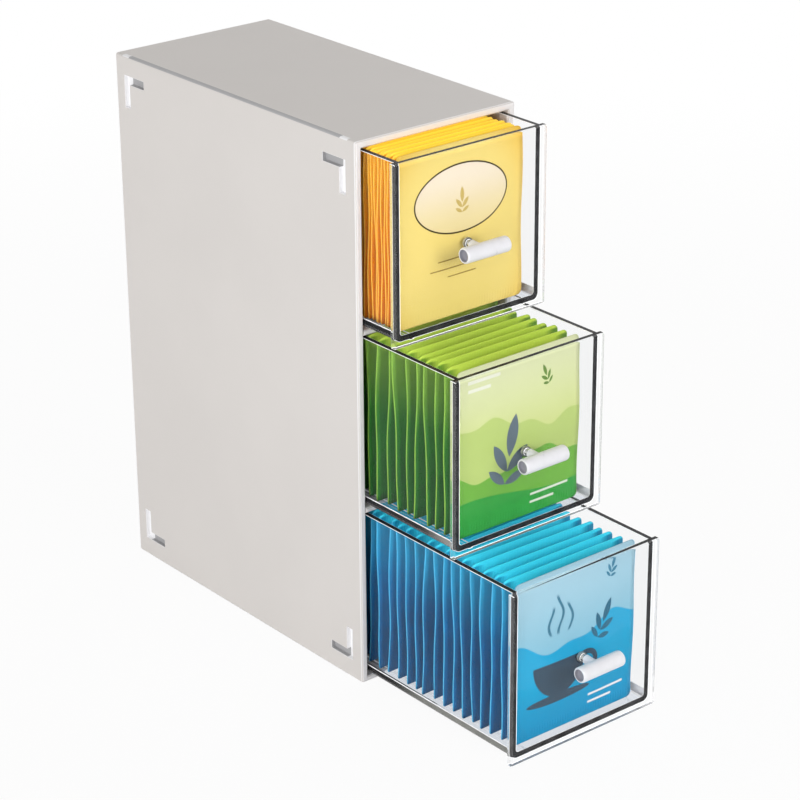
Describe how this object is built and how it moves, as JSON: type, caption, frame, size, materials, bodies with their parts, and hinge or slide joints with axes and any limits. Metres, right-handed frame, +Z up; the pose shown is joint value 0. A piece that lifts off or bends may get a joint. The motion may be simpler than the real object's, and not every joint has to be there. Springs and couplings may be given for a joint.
{
  "type": "tea bag drawer box",
  "caption": "Tall narrow white case on a flat base with a stack of clear pull-out drawers, each with a T-bar handle and a row of tea sachets.",
  "frame": {"origin": "centre of the case's flat base", "axes": "+X to the right seen from the front, -Y out of the drawers, +Z up; the drawers stand open at rest"},
  "size_m": [0.0919, 0.2926, 0.2594],
  "materials": {
    "case_plastic": "satin",
    "clear_plastic": "gloss",
    "handle_plastic": "gloss",
    "screw_steel": "satin",
    "sachet_paper_blue": "satin",
    "sachet_paper_green": "satin",
    "sachet_paper_yellow": "satin"
  },
  "bodies": {
    "case": {"case_shell": "case_plastic", "shelf_lower": "case_plastic", "shelf_upper": "case_plastic", "back_panel": "case_plastic"},
    "bottom_drawer": {"drawer_bottom": "clear_plastic", "handle_bottom": "handle_plastic", "handle_screw_bottom": "screw_steel", "sachet_front_bottom": "sachet_paper_blue", "sachets_bottom": "sachet_paper_blue"},
    "middle_drawer": {"drawer_middle": "clear_plastic", "handle_middle": "handle_plastic", "handle_screw_middle": "screw_steel", "sachet_front_middle": "sachet_paper_green", "sachets_middle": "sachet_paper_green"},
    "top_drawer": {"drawer_top": "clear_plastic", "handle_top": "handle_plastic", "handle_screw_top": "screw_steel", "sachet_front_top": "sachet_paper_yellow", "sachets_top": "sachet_paper_yellow"}
  },
  "joints": [
    {"name": "bottom_drawer_slide", "type": "slide", "parent": "case", "child": "bottom_drawer", "axis": [0, -1, 0], "range_m": [-0.097, 0.053]},
    {"name": "middle_drawer_slide", "type": "slide", "parent": "case", "child": "middle_drawer", "axis": [0, -1, 0], "range_m": [-0.059, 0.091]},
    {"name": "top_drawer_slide", "type": "slide", "parent": "case", "child": "top_drawer", "axis": [0, -1, 0], "range_m": [-0.02, 0.13]}
  ]
}
